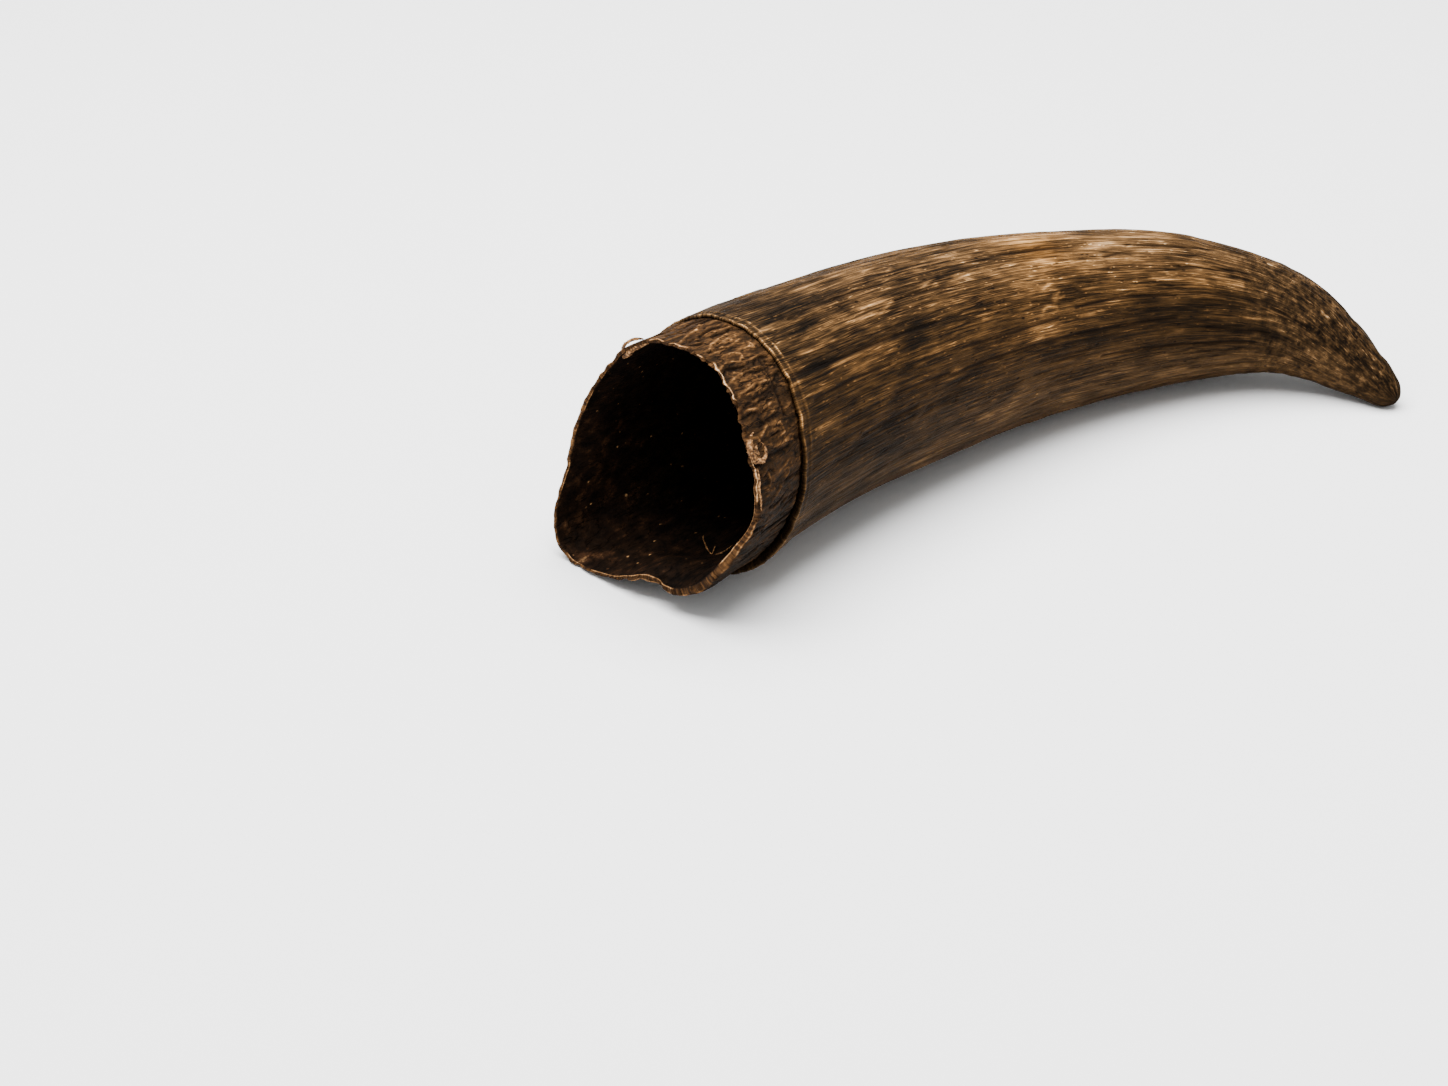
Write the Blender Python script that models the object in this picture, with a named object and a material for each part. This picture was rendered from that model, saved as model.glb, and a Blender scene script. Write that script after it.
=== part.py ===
"""A weathered cow horn, lying on its underside.

The horn is one grown piece: a tapering tube of keratin along a curved centreline. It is
hollow from the open mouth for three quarters of its length, and solid from there to the tip.
Every ring of the surface is placed by its distance from the mouth and by an angle around
the centreline: 0 is the top, 90 the inside of the curve, 180 the underside and 270 the
outside of the curve. The mesh is one closed skin, extruded ring by ring from the tip to
the rim, over the rim, and down the hollow to its end.
"""

import math

import bmesh
import bpy
import numpy as np

# Driving dimensions, in metres and degrees.

LENGTH = 0.3463           # along the centreline, from the middle of the mouth to the tip

# The horn at stations along its length, where 0 is the mouth and 1 the tip: the
# centreline's heading in plan, in degrees from +X, its height, and the mean radius.
STATIONS = (0.0, 0.2, 0.4, 0.6, 0.74, 0.86, 0.94, 1.0)
HEADINGS = (21.6, 22.4, 16.6, 3.2, -15.8, -44.5, -63.4, -76.4)
HEIGHTS = (0.0441, 0.0424, 0.0380, 0.0319, 0.0281, 0.0222, 0.0113, 0.0034)
RADII = (0.0436, 0.0395, 0.0370, 0.0323, 0.0270, 0.0186, 0.0108, 0.0046)
ROUND_END = 0.984         # from here on, the tip is rounded over

HOLLOW_DEPTH = 0.262      # from the mouth to the end of the hollow
HOLLOW_TAPER = 3.6        # a higher power keeps the wall thin for longer
RIM_WALL = 0.0018         # wall at the rim
RIM_WALL_THICK = 0.0014   # extra wall at the rim, low on the inside of the curve

COLLAR = 0.028            # the bare collar, from the mouth to the edge of the outer layer
COLLAR_RECESS = 0.0009    # how far the collar lies under the outer layer
CREVICE_DEPTH = 0.0024    # the open crevice in front of the outer layer's edge, at its deepest
CREVICE_WIDTH = 0.0022
CREVICE_SIDE = 125        # angle around which it is open; elsewhere it is only a groove
LIP_RISE = 0.0006         # the outer layer's free edge stands up by this much
LIP_FLARE = 0.0014        # and by this much more low down, where it has come away

MOUTH_SLANT = 0.0077      # the mouth and the collar lie aslant, by this much each way
SLANT_TOWARD = 343        # angle at which the slant runs furthest toward the tip
SLANT_REACH = 0.110       # the slant has died out this far from the mouth

RIM_RAGGED = 0.0010       # the rim's broken edge runs in and out by about this much
RAGGED_REACH = 0.006      # the rings behind the rim follow it for this long
COLLAR_HEIGHT = 0.0005    # wrinkles of the collar
RIDGE_HEIGHT = 0.00035    # shallow ridges along the grain
SWELL_HEIGHT = 0.00045    # broad, low unevenness of the whole horn
HOLLOW_HEIGHT = 0.0006    # unevenness of the hollow's wall
TIP_BUMP = 0.00040        # short bumps along the outside of the curve near the tip
BUMPS_BETWEEN = (0.88, 0.985)    # where those bumps lie, in parts of the length

# How the section departs from a circle: height, angle, half-width, and the distance from
# the mouth over which it dies out.
LOBES = (
    (0.0132, 224, 19, 0.060),     # the outward corner low on the outside
    (-0.0076, 294, 46, 0.055),    # the flattened outside
    (-0.0066, 173, 18, 0.024),    # the wave pressed into the bottom of the rim
    (0.0037, 38, 23, 0.048),      # the fuller shoulder at the top
    (0.0047, 85, 20, 0.032),      # the rim's flare on the inside of the curve
)

# Rings along the outside, the rim and the hollow, and points around each ring.
AROUND = 60
TIP_ZONE = 0.040
TIP_RINGS = 14
BODY_RINGS = 34
LEDGE_RINGS = (0.0075, 0.0035, 0.0012, 0.0, -0.0004, -0.0014, -0.0026, -0.0040)
COLLAR_RINGS = (0.0215, 0.0175, 0.0135, 0.0095, 0.0055, 0.0025, 0.0006)
HOLLOW_RINGS = (0.0006, 0.003, 0.009, 0.018, 0.030, 0.046, 0.065, 0.087, 0.111, 0.136,
                0.161, 0.184, 0.204, 0.221, 0.236, 0.248, 0.256, 0.2608)


def blend(low, high, value):
    """Run smoothly from 0 at low to 1 at high."""
    part = np.clip((value - low) / (high - low), 0.0, 1.0)
    return part * part * (3.0 - 2.0 * part)


def hump(angle, middle, width):
    """A smooth hump around the section, 1 high at its middle angle."""
    apart = (angle - middle + 180.0) % 360.0 - 180.0
    return np.exp(-(apart / width) ** 2)


def patchy(angle, along, patches, spacing, seed):
    """A smooth random field from -1 to 1 that closes up around the horn."""
    steps = int(LENGTH / spacing) + 4
    grid = np.random.default_rng(seed).uniform(-1.0, 1.0, (steps, patches))
    across = (angle % 360.0) / 360.0 * patches
    down = np.clip(along / spacing + 1.0, 0.0, steps - 1.001)
    column = np.floor(across).astype(int)
    row = np.floor(down).astype(int)
    right = blend(0.0, 1.0, across - column)
    below = blend(0.0, 1.0, down - row)
    here = column % patches
    beside = (column + 1) % patches
    top = grid[row, here] * (1.0 - right) + grid[row, beside] * right
    bottom = grid[row + 1, here] * (1.0 - right) + grid[row + 1, beside] * right
    return top * (1.0 - below) + bottom * below


def through(values, part):
    """A smooth curve through the values at the stations, read at parts of the length."""
    stations = np.array(STATIONS)
    values = np.array(values)
    slopes = np.gradient(values, stations)
    k = np.clip(np.searchsorted(stations, part, side="right") - 1, 0, len(stations) - 2)
    gap = stations[k + 1] - stations[k]
    way = (part - stations[k]) / gap
    start = (1.0 + 2.0 * way) * values[k] + way * gap * slopes[k]
    finish = (3.0 - 2.0 * way) * values[k + 1] - (1.0 - way) * gap * slopes[k + 1]
    return (1.0 - way) ** 2 * start + way ** 2 * finish


def centreline(along):
    """Points and directions of the centreline at distances along it.

    The height over the table is given, so the plan is run along the heading with what is
    left of each step.
    """
    fine = np.linspace(0.0, 1.0, 2001)
    height = through(HEIGHTS, fine)
    heading = np.radians(through(HEADINGS, fine))
    climb = np.gradient(height, fine * LENGTH)
    level = np.sqrt(1.0 - climb ** 2)
    direction = np.stack([level * np.cos(heading), level * np.sin(heading), climb], axis=1)
    steps = 0.5 * (direction[1:] + direction[:-1]) * LENGTH / 2000
    point = np.vstack([np.zeros(3), np.cumsum(steps, axis=0)])
    inside = np.clip(along / LENGTH, 0.0, 1.0)
    place = np.stack([np.interp(inside, fine, point[:, k]) for k in range(3)], axis=-1)
    toward = np.stack([np.interp(inside, fine, direction[:, k]) for k in range(3)], axis=-1)
    toward /= np.linalg.norm(toward, axis=-1, keepdims=True)
    before = np.minimum(along, 0.0)
    return place + toward * before[..., None], toward


def plain_radius(along):
    """Mean radius of the smooth horn, rounded over at the tip."""
    part = np.clip(along / LENGTH, 0.0, 1.0)
    over = np.clip((part - ROUND_END) / (1.0 - ROUND_END), 0.0, 1.0)
    return through(RADII, part) * np.sqrt(1.0 - over ** 2)


def section_radius(angle, along):
    """The smooth radius with the section's lobes, which are strongest at the mouth."""
    radius = plain_radius(along)
    for height, middle, width, reach in LOBES:
        radius = radius + height * hump(angle, middle, width) * (1.0 - blend(0.0, reach, along))
    return radius


def slanted(angle, nominal):
    """Distance along the centreline, with the broken rim and the slant of the mouth."""
    ragged = RIM_RAGGED * patchy(angle, nominal * 0.0, 26, 0.05, 11)
    ragged = ragged * (1.0 - blend(0.0, RAGGED_REACH, nominal))
    slant = MOUTH_SLANT * np.cos(np.radians(angle - SLANT_TOWARD))
    slant = slant * (1.0 - blend(COLLAR, SLANT_REACH, nominal))
    return nominal + ragged + slant


def relief(angle, nominal):
    """Height of the collar, the crevice, the lip, the ridges and the bumps."""
    low_side = hump(angle, 145.0, 50.0)
    behind = nominal - COLLAR
    depth = CREVICE_DEPTH * (0.15 + 0.85 * hump(angle, CREVICE_SIDE, 62.0))
    width = CREVICE_WIDTH * (0.7 + 0.6 * low_side)
    recess = COLLAR_RECESS * blend(0.0, 0.6 * COLLAR, nominal)
    collar = -recess - depth * blend(-1.6 * width, -0.6 * width, behind)
    lip = (LIP_RISE + LIP_FLARE * low_side) * (1.0 - blend(0.001, 0.016, behind))
    height = np.where(behind < -0.0002, collar, lip)
    on_body = blend(0.0, 0.030, behind)
    on_collar = 1.0 - blend(-0.006, -0.003, behind)
    ridges = patchy(angle, nominal, 24, 0.060, 5) + 0.6 * patchy(angle, nominal, 30, 0.035, 6)
    fade = 1.0 - blend(0.85, 0.99, nominal / LENGTH)
    height = height + RIDGE_HEIGHT * ridges * (0.3 + 0.7 * on_body) * fade
    height = height + SWELL_HEIGHT * patchy(angle, nominal, 6, 0.045, 7) * on_body * fade
    height = height + COLLAR_HEIGHT * patchy(angle, nominal, 20, 0.009, 8) * on_collar
    first, last = BUMPS_BETWEEN
    near_tip = blend(first - 0.02, first + 0.02, nominal / LENGTH)
    near_tip = near_tip * (1.0 - blend(last - 0.01, last + 0.01, nominal / LENGTH))
    bumps = patchy(angle, nominal, 9, 0.0055, 9)
    return height + TIP_BUMP * bumps * near_tip * (0.5 + hump(angle, 290.0, 60.0))


def placed(angle, along, radius):
    """Points at a radius and angle around the centreline."""
    place, toward = centreline(along)
    up = np.array([0.0, 0.0, 1.0]) - toward * toward[..., 2:3]
    up /= np.linalg.norm(up, axis=-1, keepdims=True)
    side = np.cross(toward, up)
    turn = np.radians(angle)[..., None]
    return place + radius[..., None] * (np.cos(turn) * up + np.sin(turn) * side)


def outer_ring(nominal):
    """One ring of the outside, at its nominal distance from the mouth."""
    angle = np.arange(AROUND) * 360.0 / AROUND
    nominal = np.full(AROUND, float(nominal))
    along = slanted(angle, nominal)
    radius = section_radius(angle, along) + relief(angle, nominal)
    return placed(angle, along, radius)


def inner_ring(nominal):
    """One ring of the hollow, which narrows from the rim's thin wall to its own round end."""
    angle = np.arange(AROUND) * 360.0 / AROUND
    nominal = np.full(AROUND, float(nominal))
    along = slanted(angle, nominal)
    wall = RIM_WALL + RIM_WALL_THICK * hump(angle, 130.0, 42.0)
    open_part = (1.0 - (nominal / HOLLOW_DEPTH) ** HOLLOW_TAPER) ** 0.8
    uneven = HOLLOW_HEIGHT * patchy(angle, nominal, 14, 0.030, 12) * blend(0.0, 0.012, nominal)
    wall = wall + COLLAR_RECESS * blend(0.0, 0.6 * COLLAR, nominal)
    radius = (section_radius(angle, along) - wall + uneven) * open_part
    return placed(angle, along, radius)


def all_rings():
    """Every ring in order, from the tip over the rim to the end of the hollow."""
    part = np.linspace(0.0, 1.0, TIP_RINGS + 1)[1:]
    tip_zone = LENGTH - TIP_ZONE * part ** 1.8
    body = np.linspace(LENGTH - TIP_ZONE, COLLAR + 0.013, BODY_RINGS + 1)[1:]
    ledge = [COLLAR + offset for offset in LEDGE_RINGS]
    outside = [outer_ring(value) for value in (*tip_zone, *body, *ledge, *COLLAR_RINGS)]
    rim_outer = outer_ring(COLLAR_RINGS[-1])
    rim_inner = inner_ring(HOLLOW_RINGS[0])
    slope = rim_outer - outer_ring(COLLAR_RINGS[-2])
    slope /= np.linalg.norm(slope, axis=1, keepdims=True)
    rim_edge = 0.5 * (rim_outer + rim_inner) + slope * 0.0005
    inside = [inner_ring(value) for value in HOLLOW_RINGS]
    tip = centreline(np.array([LENGTH]))[0][0]
    end = centreline(np.array([HOLLOW_DEPTH]))[0][0]
    return tip, outside + [rim_edge] + inside, end


def grown(shape, loop, ring):
    """Extrude a loop of points, and set the new loop down on the next ring."""
    edges = [shape.edges.get((loop[k - 1], loop[k])) for k in range(AROUND)]
    made = bmesh.ops.extrude_edge_only(shape, edges=edges)["geom"]
    fresh = {item for item in made if isinstance(item, bmesh.types.BMVert)}
    new_loop = []
    for old in loop:
        ends = (edge.other_vert(old) for edge in old.link_edges)
        new_loop.append(next(end for end in ends if end in fresh))
    for point, place in zip(new_loop, ring):
        point.co = place
    return new_loop


def closed(shape, loop, place):
    """Close a loop with a fan of faces around one point."""
    centre = shape.verts.new(place)
    for k in range(AROUND):
        shape.faces.new((loop[k - 1], loop[k], centre))


def horn_mesh():
    """The closed skin, standing on the plane z = 0 with the origin under its middle."""
    tip, rings, end = all_rings()
    points = np.vstack([tip[None], *rings, end[None]])
    low = points.min(axis=0)
    high = points.max(axis=0)
    under_middle = np.array([(low[0] + high[0]) / 2, (low[1] + high[1]) / 2, low[2]])
    shape = bmesh.new()
    loop = bmesh.ops.create_circle(shape, segments=AROUND, radius=RADII[0])["verts"]
    for point, place in zip(loop, rings[0]):
        point.co = place - under_middle
    closed(shape, loop, tip - under_middle)
    for ring in rings[1:]:
        loop = grown(shape, loop, ring - under_middle)
    closed(shape, loop, end - under_middle)
    bmesh.ops.recalc_face_normals(shape, faces=shape.faces)
    mesh = bpy.data.meshes.new("horn")
    shape.to_mesh(mesh)
    shape.free()
    mesh.shade_smooth()
    mesh.set_sharp_from_angle(angle=math.radians(50))
    return mesh


def horn_material():
    """Old, weathered keratin: a dull dark olive brown."""
    material = bpy.data.materials.new("weathered horn keratin")
    material.use_nodes = True
    shader = material.node_tree.nodes["Principled BSDF"]
    shader.inputs["Base Color"].default_value = (0.092, 0.058, 0.034, 1.0)
    shader.inputs["Roughness"].default_value = 0.62
    shader.inputs["Metallic"].default_value = 0.0
    return material


for old_object in list(bpy.data.objects):
    bpy.data.objects.remove(old_object)

horn = bpy.data.objects.new("horn", horn_mesh())
horn.data.materials.append(horn_material())
bpy.context.collection.objects.link(horn)
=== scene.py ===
"""A weathered cow horn on a pale studio floor."""
import math

import bpy
import numpy as np
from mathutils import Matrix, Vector


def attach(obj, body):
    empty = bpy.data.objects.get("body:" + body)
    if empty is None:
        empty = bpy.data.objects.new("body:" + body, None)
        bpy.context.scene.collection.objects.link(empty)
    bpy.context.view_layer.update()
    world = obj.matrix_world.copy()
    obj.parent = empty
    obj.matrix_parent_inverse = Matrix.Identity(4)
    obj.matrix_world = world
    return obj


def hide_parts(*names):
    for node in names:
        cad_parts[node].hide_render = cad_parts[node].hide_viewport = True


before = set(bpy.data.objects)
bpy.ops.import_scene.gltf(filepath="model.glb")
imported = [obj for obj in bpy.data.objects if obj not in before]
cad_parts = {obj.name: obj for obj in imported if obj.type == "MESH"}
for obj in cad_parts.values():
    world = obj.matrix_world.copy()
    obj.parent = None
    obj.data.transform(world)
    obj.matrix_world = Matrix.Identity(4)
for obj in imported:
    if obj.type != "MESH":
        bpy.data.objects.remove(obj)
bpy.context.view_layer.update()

# The camera
# A short telephoto lens looks down on the horn at 28 degrees, from in front of its mouth.

CAMERA_AT = (-0.5675, -0.9239, 0.5449)
CAMERA_TOWARD = (0.3953, 0.7895, -0.4695)

camera_data = bpy.data.cameras.new("camera")
camera_data.lens = 85.0
camera_data.sensor_width = 36.0
camera = bpy.data.objects.new("camera", camera_data)
camera.location = CAMERA_AT
camera.rotation_mode = "QUATERNION"
camera.rotation_quaternion = Vector(CAMERA_TOWARD).to_track_quat("-Z", "Y")
bpy.context.collection.objects.link(camera)
bpy.context.scene.camera = camera


# The grown form
# A horn sheath is keratin that grew over a bone core, in layers that run from the mouth to
# the tip. Each point of it is set by its distance along the curved centreline and by an
# angle: 0 is the top, 90 the inside of the curve, 180 the underside, 270 the outside.

MOUTH_AT = (-0.143686, -0.025121, 0.044364)    # the middle of the mouth
LENGTH = 0.3463                                # from there to the tip, along the centreline
STATIONS = (0.0, 0.2, 0.4, 0.6, 0.74, 0.86, 0.94, 1.0)
HEADINGS = (21.6, 22.4, 16.6, 3.2, -15.8, -44.5, -63.4, -76.4)
HEIGHTS = (0.0441, 0.0424, 0.0380, 0.0319, 0.0281, 0.0222, 0.0113, 0.0034)
RADII = (0.0436, 0.0395, 0.0370, 0.0323, 0.0270, 0.0186, 0.0108, 0.0046)
ROUND_END = 0.984
COLLAR = 0.028                                 # from the mouth to the outer layer's edge
MOUTH_SLANT = 0.0077
SLANT_TOWARD = 343
SLANT_REACH = 0.110
RIM_RAGGED = 0.0010
RIM_NICKS = 0.0004
RIDGE_HEIGHT = 0.00035
SWELL_HEIGHT = 0.00045
BUMP_HEIGHT = 0.00040

# Where the section leaves the circle: height, angle, half-width and reach from the mouth.
LOBES = (
    (0.0132, 224, 19, 0.060),
    (-0.0076, 294, 46, 0.055),
    (-0.0066, 173, 18, 0.024),
    (0.0037, 38, 23, 0.048),
    (0.0047, 85, 20, 0.032),
)


def blend(low, high, value):
    """Smoothstep: 0 up to low, 1 from high on, and 3x^2 - 2x^3 between."""
    part = np.clip((value - low) / (high - low), 0.0, 1.0)
    return part * part * (3.0 - 2.0 * part)


def hump(angle, middle, width):
    """exp(-(a/width)^2), where a is the angle from the middle, wrapped to half a turn."""
    apart = (angle - middle + 180.0) % 360.0 - 180.0
    return np.exp(-(apart / width) ** 2)


def patchy(angle, along, patches, spacing, seed):
    """Value noise from -1 to 1 on a lattice that closes up around the horn.

    The lattice has a number of patches around and a spacing along; its seeded random
    values are blended with a smoothstep both ways.
    """
    steps = int(LENGTH / spacing) + 4
    grid = np.random.default_rng(seed).uniform(-1.0, 1.0, (steps, patches))
    across = (angle % 360.0) / 360.0 * patches
    down = np.clip(along / spacing + 1.0, 0.0, steps - 1.001)
    column = np.floor(across).astype(int)
    row = np.floor(down).astype(int)
    right = blend(0.0, 1.0, across - column)
    below = blend(0.0, 1.0, down - row)
    here = column % patches
    beside = (column + 1) % patches
    top = grid[row, here] * (1.0 - right) + grid[row, beside] * right
    bottom = grid[row + 1, here] * (1.0 - right) + grid[row + 1, beside] * right
    return top * (1.0 - below) + bottom * below


def through(values, part):
    """Cubic Hermite curve through the values at the stations, with central-difference slopes."""
    stations = np.array(STATIONS)
    values = np.array(values)
    slopes = np.gradient(values, stations)
    k = np.clip(np.searchsorted(stations, part, side="right") - 1, 0, len(stations) - 2)
    gap = stations[k + 1] - stations[k]
    way = (part - stations[k]) / gap
    start = (1.0 + 2.0 * way) * values[k] + way * gap * slopes[k]
    finish = (3.0 - 2.0 * way) * values[k + 1] - (1.0 - way) * gap * slopes[k + 1]
    return (1.0 - way) ** 2 * start + way ** 2 * finish


def centreline(along):
    """Points and directions at distances along it: the heading in plan is summed in small
    steps, each shortened by the climb that the given heights ask for."""
    fine = np.linspace(0.0, 1.0, 2001)
    height = through(HEIGHTS, fine)
    heading = np.radians(through(HEADINGS, fine))
    climb = np.gradient(height, fine * LENGTH)
    level = np.sqrt(1.0 - climb ** 2)
    direction = np.stack([level * np.cos(heading), level * np.sin(heading), climb], axis=1)
    steps = 0.5 * (direction[1:] + direction[:-1]) * LENGTH / 2000
    point = np.vstack([np.zeros(3), np.cumsum(steps, axis=0)]) + np.array(MOUTH_AT)
    inside = np.clip(along / LENGTH, 0.0, 1.0)
    place = np.stack([np.interp(inside, fine, point[:, k]) for k in range(3)], axis=-1)
    toward = np.stack([np.interp(inside, fine, direction[:, k]) for k in range(3)], axis=-1)
    toward /= np.linalg.norm(toward, axis=-1, keepdims=True)
    return place + toward * np.minimum(along, 0.0)[..., None], toward


def section_radius(angle, along):
    """The mean radius through the stations, rounded over at the tip like a quarter circle,
    with a Gaussian lobe for each place where the section leaves the circle."""
    part = np.clip(along / LENGTH, 0.0, 1.0)
    over = np.clip((part - ROUND_END) / (1.0 - ROUND_END), 0.0, 1.0)
    radius = through(RADII, part) * np.sqrt(1.0 - over ** 2)
    for height, middle, width, reach in LOBES:
        radius = radius + height * hump(angle, middle, width) * (1.0 - blend(0.0, reach, along))
    return radius


def slanted(angle, nominal):
    """The distance along, moved by the broken rim's edge and by a cosine of the angle for
    the slant of the mouth; both die out up the horn."""
    ragged = RIM_RAGGED * patchy(angle, nominal * 0.0, 26, 0.05, 11)
    ragged = ragged + RIM_NICKS * patchy(angle, nominal * 0.0, 90, 0.05, 12)
    ragged = ragged * (1.0 - blend(0.0, 0.006, nominal))
    slant = MOUTH_SLANT * np.cos(np.radians(angle - SLANT_TOWARD))
    return nominal + ragged + slant * (1.0 - blend(COLLAR, SLANT_REACH, nominal))


def placed(angle, along, radius):
    """Points at a radius and angle around the centreline, where angle 0 is straight up from
    the centreline and square to it."""
    place, toward = centreline(along)
    up = np.array([0.0, 0.0, 1.0]) - toward * toward[..., 2:3]
    up /= np.linalg.norm(up, axis=-1, keepdims=True)
    side = np.cross(toward, up)
    turn = np.radians(angle)[..., None]
    return place + radius[..., None] * (np.cos(turn) * up + np.sin(turn) * side)


def grown_ridges(angle, nominal):
    """The horn's broad unevenness: long shallow ridges along the grain, low swellings, and
    short bumps on the outside of the curve near the tip."""
    on_body = blend(0.0, 0.030, nominal - COLLAR)
    fade = 1.0 - blend(0.85, 0.99, nominal / LENGTH)
    ridges = patchy(angle, nominal, 24, 0.060, 5) + 0.6 * patchy(angle, nominal, 30, 0.035, 6)
    height = RIDGE_HEIGHT * ridges * (0.3 + 0.7 * on_body) * fade
    height = height + SWELL_HEIGHT * patchy(angle, nominal, 6, 0.045, 7) * on_body * fade
    near_tip = blend(0.86, 0.90, nominal / LENGTH)
    near_tip = near_tip * (1.0 - blend(0.975, 0.995, nominal / LENGTH))
    bumps = BUMP_HEIGHT * patchy(angle, nominal, 9, 0.0055, 9)
    return height + bumps * near_tip * (0.5 + hump(angle, 290.0, 60.0))


def along_paths(angle, nominal, paths, half_width):
    """1 on the nearest of some paths over the skin, and exp(-(d/w)^2) at a distance d.

    Each path is a row of points, in millimetres from the mouth and degrees around. The
    distance is taken over the unrolled skin, segment by segment, on the rows near it.
    """
    row_mm = nominal[:, 0] * 1000
    radius_mm = through(RADII, np.clip(nominal[:, 0] / LENGTH, 0.0, 1.0)) * 1000
    arc = radius_mm[:, None] * math.pi / 180
    field = np.zeros_like(angle)
    for path in paths:
        for (mm_a, turn_a), (mm_b, turn_b) in zip(path[:-1], path[1:]):
            rows = (row_mm > min(mm_a, mm_b) - 3.0) & (row_mm < max(mm_a, mm_b) + 3.0)
            if not rows.any():
                continue
            apart = (angle[rows] - turn_a + 180.0) % 360.0 - 180.0
            down = row_mm[rows][:, None] - mm_a
            across = apart * arc[rows]
            long_step = mm_b - mm_a
            side_step = (turn_b - turn_a) * arc[rows]
            square = long_step ** 2 + side_step ** 2
            way = np.clip((down * long_step + across * side_step) / square, 0.0, 1.0)
            gap = (down - way * long_step) ** 2 + (across - way * side_step) ** 2
            field[rows] = np.maximum(field[rows], np.exp(-gap / half_width ** 2))
    return field


def wandering_paths(seed, count, first, last, longest, drift, hairpins):
    """Seeded random paths that run mostly along the grain, some of which double back.

    Each has six points; across the grain it leans by a normal random slope, and a hairpin
    comes back beside itself.
    """
    random = np.random.default_rng(seed)
    paths = []
    for _ in range(count):
        start = random.uniform(first, last)
        turn = random.uniform(0.0, 360.0)
        length = random.uniform(0.25, 1.0) * longest
        lean = random.normal(0.0, drift)
        there = np.linspace(0.0, length, 6)
        wave = random.normal(0.0, 0.5, 6)
        path = list(zip(start + there, turn + lean * there + wave))
        if random.uniform() < hairpins:
            apart = random.choice((-1.0, 1.0)) * random.uniform(2.4, 4.0)
            path += [(mm, degrees + apart) for mm, degrees in path[:0:-1]]
        paths.append(path)
    return paths


def sheath_mesh(name, places, angle, nominal, marks, pole=None):
    """A mesh of quads over a grid of rows by points around, closed around the horn.

    Each point keeps its place on a straightened horn of 36 mm radius as the attribute
    grain, so that patterns can run along the grain without a seam, and each of the marks
    as an attribute of its own. A pole closes the first row with a fan of triangles.
    """
    rows, around = angle.shape
    index = np.arange(rows * around).reshape(rows, around)
    beside = np.roll(index, -1, axis=1)
    quads = np.stack([index[:-1], index[1:], beside[1:], beside[:-1]], axis=-1).reshape(-1, 4)
    points = places.reshape(-1, 3)
    turn = np.radians(angle)
    grain = np.stack([0.036 * np.cos(turn), 0.036 * np.sin(turn), nominal], axis=-1)
    grain = grain.reshape(-1, 3)
    marks = {key: value.reshape(-1) for key, value in marks.items()}
    loops = quads.reshape(-1)
    sizes = np.full(len(quads), 4)
    if pole is not None:
        points = np.vstack([points, pole])
        grain = np.vstack([grain, grain[:around].mean(axis=0)])
        marks = {key: np.append(value, value[:around].mean()) for key, value in marks.items()}
        middle = np.full(around, rows * around)
        fan = np.stack([middle, index[0], beside[0]], axis=-1)
        loops = np.concatenate([loops, fan.reshape(-1)])
        sizes = np.concatenate([sizes, np.full(around, 3)])
    mesh = bpy.data.meshes.new(name)
    mesh.vertices.add(len(points))
    mesh.vertices.foreach_set("co", points.astype(np.float32).reshape(-1))
    mesh.loops.add(len(loops))
    mesh.loops.foreach_set("vertex_index", loops.astype(np.int32))
    mesh.polygons.add(len(sizes))
    starts = np.concatenate([[0], np.cumsum(sizes)[:-1]])
    mesh.polygons.foreach_set("loop_start", starts.astype(np.int32))
    mesh.update(calc_edges=True)
    mesh.validate()
    mesh.attributes.new("grain", "FLOAT_VECTOR", "POINT")
    mesh.attributes["grain"].data.foreach_set("vector", grain.astype(np.float32).reshape(-1))
    for key, value in marks.items():
        mesh.attributes.new(key, "FLOAT", "POINT")
        mesh.attributes[key].data.foreach_set("value", value.astype(np.float32))
    mesh.shade_smooth()
    return mesh


def linear(code):
    """An sRGB hex colour as linear red, green, blue and alpha."""
    parts = [int(code[k:k + 2], 16) / 255 for k in (1, 3, 5)]
    parts = [p / 12.92 if p <= 0.04045 else ((p + 0.055) / 1.055) ** 2.4 for p in parts]
    return (*parts, 1.0)


def node(tree, kind, values=(), output=0, stops=None, **settings):
    """Add a shader node, set it and link it, and give back one of its outputs.

    The values go to its inputs in order, or by name or number where they are a dict. Each
    is a number, a vector, an sRGB hex colour or another node's output. The stops are a
    colour ramp's places and hex colours, and the settings are the node's own properties.
    """
    made = tree.nodes.new("ShaderNode" + kind)
    for key, value in settings.items():
        setattr(made, key, value)
    for key, value in values.items() if isinstance(values, dict) else enumerate(values):
        if isinstance(value, bpy.types.NodeSocket):
            tree.links.new(value, made.inputs[key])
        else:
            made.inputs[key].default_value = linear(value) if isinstance(value, str) else value
    if stops:
        elements = made.color_ramp.elements
        while len(elements) < len(stops):
            elements.new(0.5)
        for element, (place, code) in zip(elements, stops):
            element.position = place
            element.color = linear(code)
    return made.outputs[output]


# The outer layer
# Old, dry keratin, weathered to a dull olive brown: it has split along the grain into fine
# dark cracks and pale raised fibres, and where it is worn the paler layers below show. Its
# edge stands proud around the collar, and low down it has come away from it.

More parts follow.
